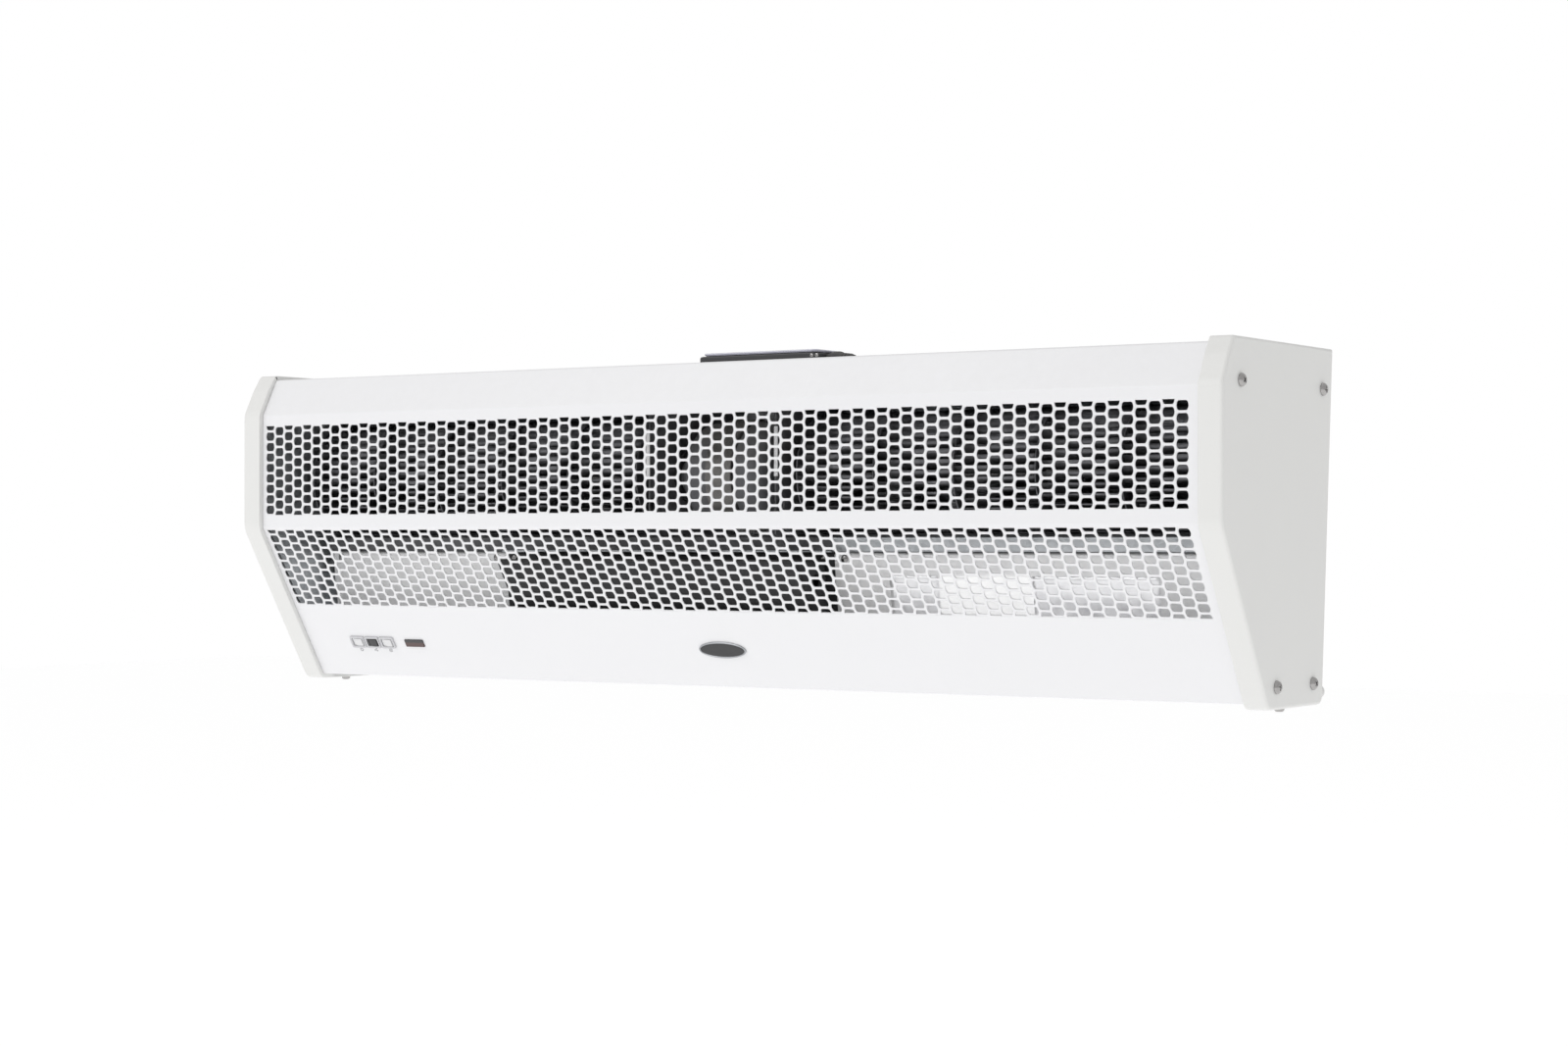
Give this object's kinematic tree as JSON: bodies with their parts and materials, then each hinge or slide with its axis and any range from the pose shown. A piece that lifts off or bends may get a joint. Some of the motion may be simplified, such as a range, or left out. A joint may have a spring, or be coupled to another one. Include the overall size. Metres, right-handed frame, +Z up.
{
  "type": "warm-air curtain",
  "caption": "Long white wall-hung fan heater with perforated front, end caps, tangential fan, rocker switches and outlet vanes.",
  "frame": {"origin": "centre of the wall bracket's back face, which lies on the wall", "axes": "+X along the length, to the right of someone facing the front; +Y into the wall; +Z up"},
  "size_m": [0.9066, 0.2, 0.2695],
  "materials": {
    "powder_coat": "satin white powder coat",
    "cap_plastic": "satin white plastic",
    "bright_steel": "bright plated",
    "zinc_sheet": "zinc-coated sheet",
    "bronze": "oiled sintered bronze",
    "motor_paint": "dark grey paint",
    "fan_aluminium": "dark anodised",
    "heater_aluminium": "plain fins",
    "black_sheet": "matt black paint",
    "black_plastic": "fine-grained black plastic",
    "pale_plastic": "glossy pale grey plastic",
    "switch_grey": "satin light grey plastic",
    "window_plastic": "dark red-brown filter plastic",
    "board": "green solder mask",
    "label_paper": "blank white label",
    "badge_metal": "brushed, blank",
    "cream_plastic": "cream thermoset",
    "black_rubber": "matt"
  },
  "bodies": {
    "casing": {"end_cap_left": "cap_plastic", "end_cap_right": "cap_plastic", "cap_screw_left_1": "bright_steel", "cap_screw_left_2": "bright_steel", "cap_screw_left_3": "bright_steel", "cap_screw_left_4": "bright_steel", "cap_screw_right_1": "bright_steel", "cap_screw_right_2": "bright_steel", "cap_screw_right_3": "bright_steel", "cap_screw_right_4": "bright_steel", "foot_screw_left": "bright_steel", "foot_screw_right": "bright_steel", "front_panel": "powder_coat", "rear_chassis": "powder_coat", "end_plate_left": "zinc_sheet", "end_plate_right": "zinc_sheet", "shaft_bush_left": "bronze", "shaft_bush_right": "bronze", "fan_motor": "motor_paint", "motor_plate_left": "zinc_sheet", "motor_plate_right": "zinc_sheet", "scroll_left": "zinc_sheet", "scroll_right": "zinc_sheet", "duct_plate_left": "zinc_sheet", "duct_plate_centre": "black_sheet", "duct_plate_right": "zinc_sheet", "blank_label": "label_paper", "heater_pack_left": "heater_aluminium", "heater_pack_right": "heater_aluminium", "heater_rail_front": "zinc_sheet", "heater_rail_rear": "zinc_sheet", "overheat_thermostat": "black_plastic", "control_box": "black_sheet", "control_board": "board", "motor_capacitor": "cream_plastic", "switch_bezel_1": "switch_grey", "switch_bezel_2": "switch_grey", "switch_bezel_3": "switch_grey", "receiver_window": "window_plastic", "receiver_board": "board", "blank_badge": "badge_metal", "terminal_cover": "black_plastic", "terminal_lid": "pale_plastic", "cable_gland": "black_rubber", "terminal_block": "cream_plastic", "wall_bracket": "zinc_sheet", "rear_bumper_left": "cap_plastic", "rear_bumper_right": "cap_plastic"},
    "rotor": {"rotor_shaft": "bright_steel", "impeller_left": "fan_aluminium", "impeller_right": "fan_aluminium"},
    "vane_front": {"outlet_vane_front": "powder_coat"},
    "vane_rear": {"outlet_vane_rear": "powder_coat"},
    "link": {"vane_link": "bright_steel"},
    "rocker_1": {"switch_rocker_1": "switch_grey"},
    "rocker_2": {"switch_rocker_2": "black_plastic"},
    "rocker_3": {"switch_rocker_3": "switch_grey"}
  },
  "joints": [
    {"name": "rotor_spin", "type": "hinge", "parent": "casing", "child": "rotor", "pos_m": [0, -0.102, 0.0075], "axis": [1, 0, 0], "continuous": true},
    {"name": "vane_front_tilt", "type": "hinge", "parent": "casing", "child": "vane_front", "pos_m": [0, -0.093, -0.1385], "axis": [1, 0, 0], "range_deg": [-35, 35]},
    {"name": "vane_rear_tilt", "type": "hinge", "parent": "casing", "child": "vane_rear", "pos_m": [0, -0.057, -0.1385], "axis": [1, 0, 0], "range_deg": [-35, 35]},
    {"name": "link_swing", "type": "hinge", "parent": "vane_front", "child": "link", "pos_m": [-0.3, -0.093, -0.1295], "axis": [1, 0, 0], "range_deg": [-35, 35]},
    {"name": "rocker_1_press", "type": "hinge", "parent": "casing", "child": "rocker_1", "pos_m": [-0.3755, -0.1371, -0.12862], "axis": [0, -0.5164, 0.8563], "range_deg": [0, 16]},
    {"name": "rocker_2_press", "type": "hinge", "parent": "casing", "child": "rocker_2", "pos_m": [-0.3593, -0.1371, -0.12862], "axis": [0, -0.5164, 0.8563], "range_deg": [0, 16]},
    {"name": "rocker_3_press", "type": "hinge", "parent": "casing", "child": "rocker_3", "pos_m": [-0.3431, -0.1371, -0.12862], "axis": [0, -0.5164, 0.8563], "range_deg": [0, 16]}
  ],
  "couplings": [
    {"joint": "vane_rear_tilt", "follows": "vane_front_tilt", "ratio": 1},
    {"joint": "link_swing", "follows": "vane_front_tilt", "ratio": -1}
  ]
}
